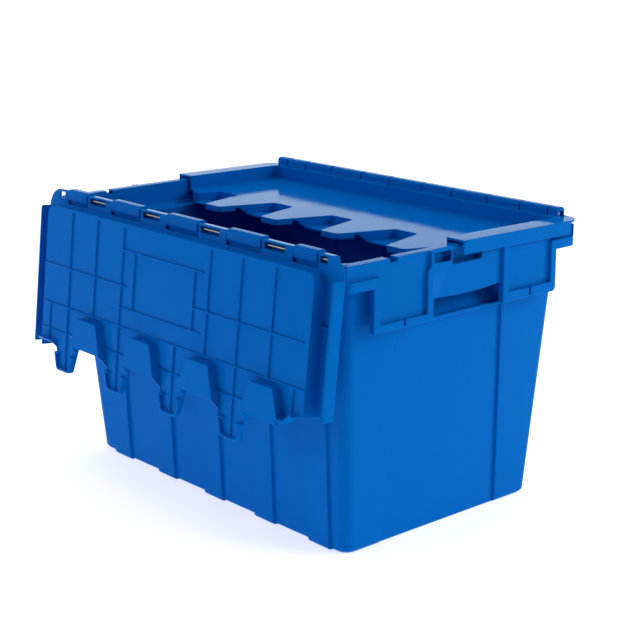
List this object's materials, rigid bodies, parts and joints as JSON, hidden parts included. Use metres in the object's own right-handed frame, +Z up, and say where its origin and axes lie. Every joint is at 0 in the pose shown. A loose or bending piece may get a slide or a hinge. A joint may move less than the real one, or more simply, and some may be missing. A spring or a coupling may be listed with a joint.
{
  "type": "stacking crate",
  "caption": "Tapered rectangular plastic crate with two attached lids on steel hinge rods; one lid hangs open and the other is closed, with interlocking fingers.",
  "frame": {"origin": "middle of the base's underside, on the ground", "axes": "+X along the hinges towards the end seen in the picture, +Z up, -Y towards the wall whose lid hangs open"},
  "size_m": [0.6, 0.4515, 0.3741],
  "materials": {
    "tub_plastic": "moulded polypropylene, satin",
    "lid_plastic": "moulded polypropylene, satin",
    "rod_steel": "zinc-plated wire"
  },
  "bodies": {
    "tub": {"crate_tub": "tub_plastic", "front_hinge_rod": "rod_steel", "rear_hinge_rod": "rod_steel"},
    "front": {"front_lid": "lid_plastic"},
    "rear": {"rear_lid": "lid_plastic"}
  },
  "joints": [
    {"name": "front_lid_hinge", "type": "hinge", "parent": "tub", "child": "front", "pos_m": [0, -0.1935, 0.365], "axis": [-1, 0, 0], "range_deg": [0, 263.3]},
    {"name": "rear_lid_hinge", "type": "hinge", "parent": "tub", "child": "rear", "pos_m": [0, 0.1935, 0.365], "axis": [1, 0, 0], "range_deg": [-262.6, 0.7]}
  ]
}
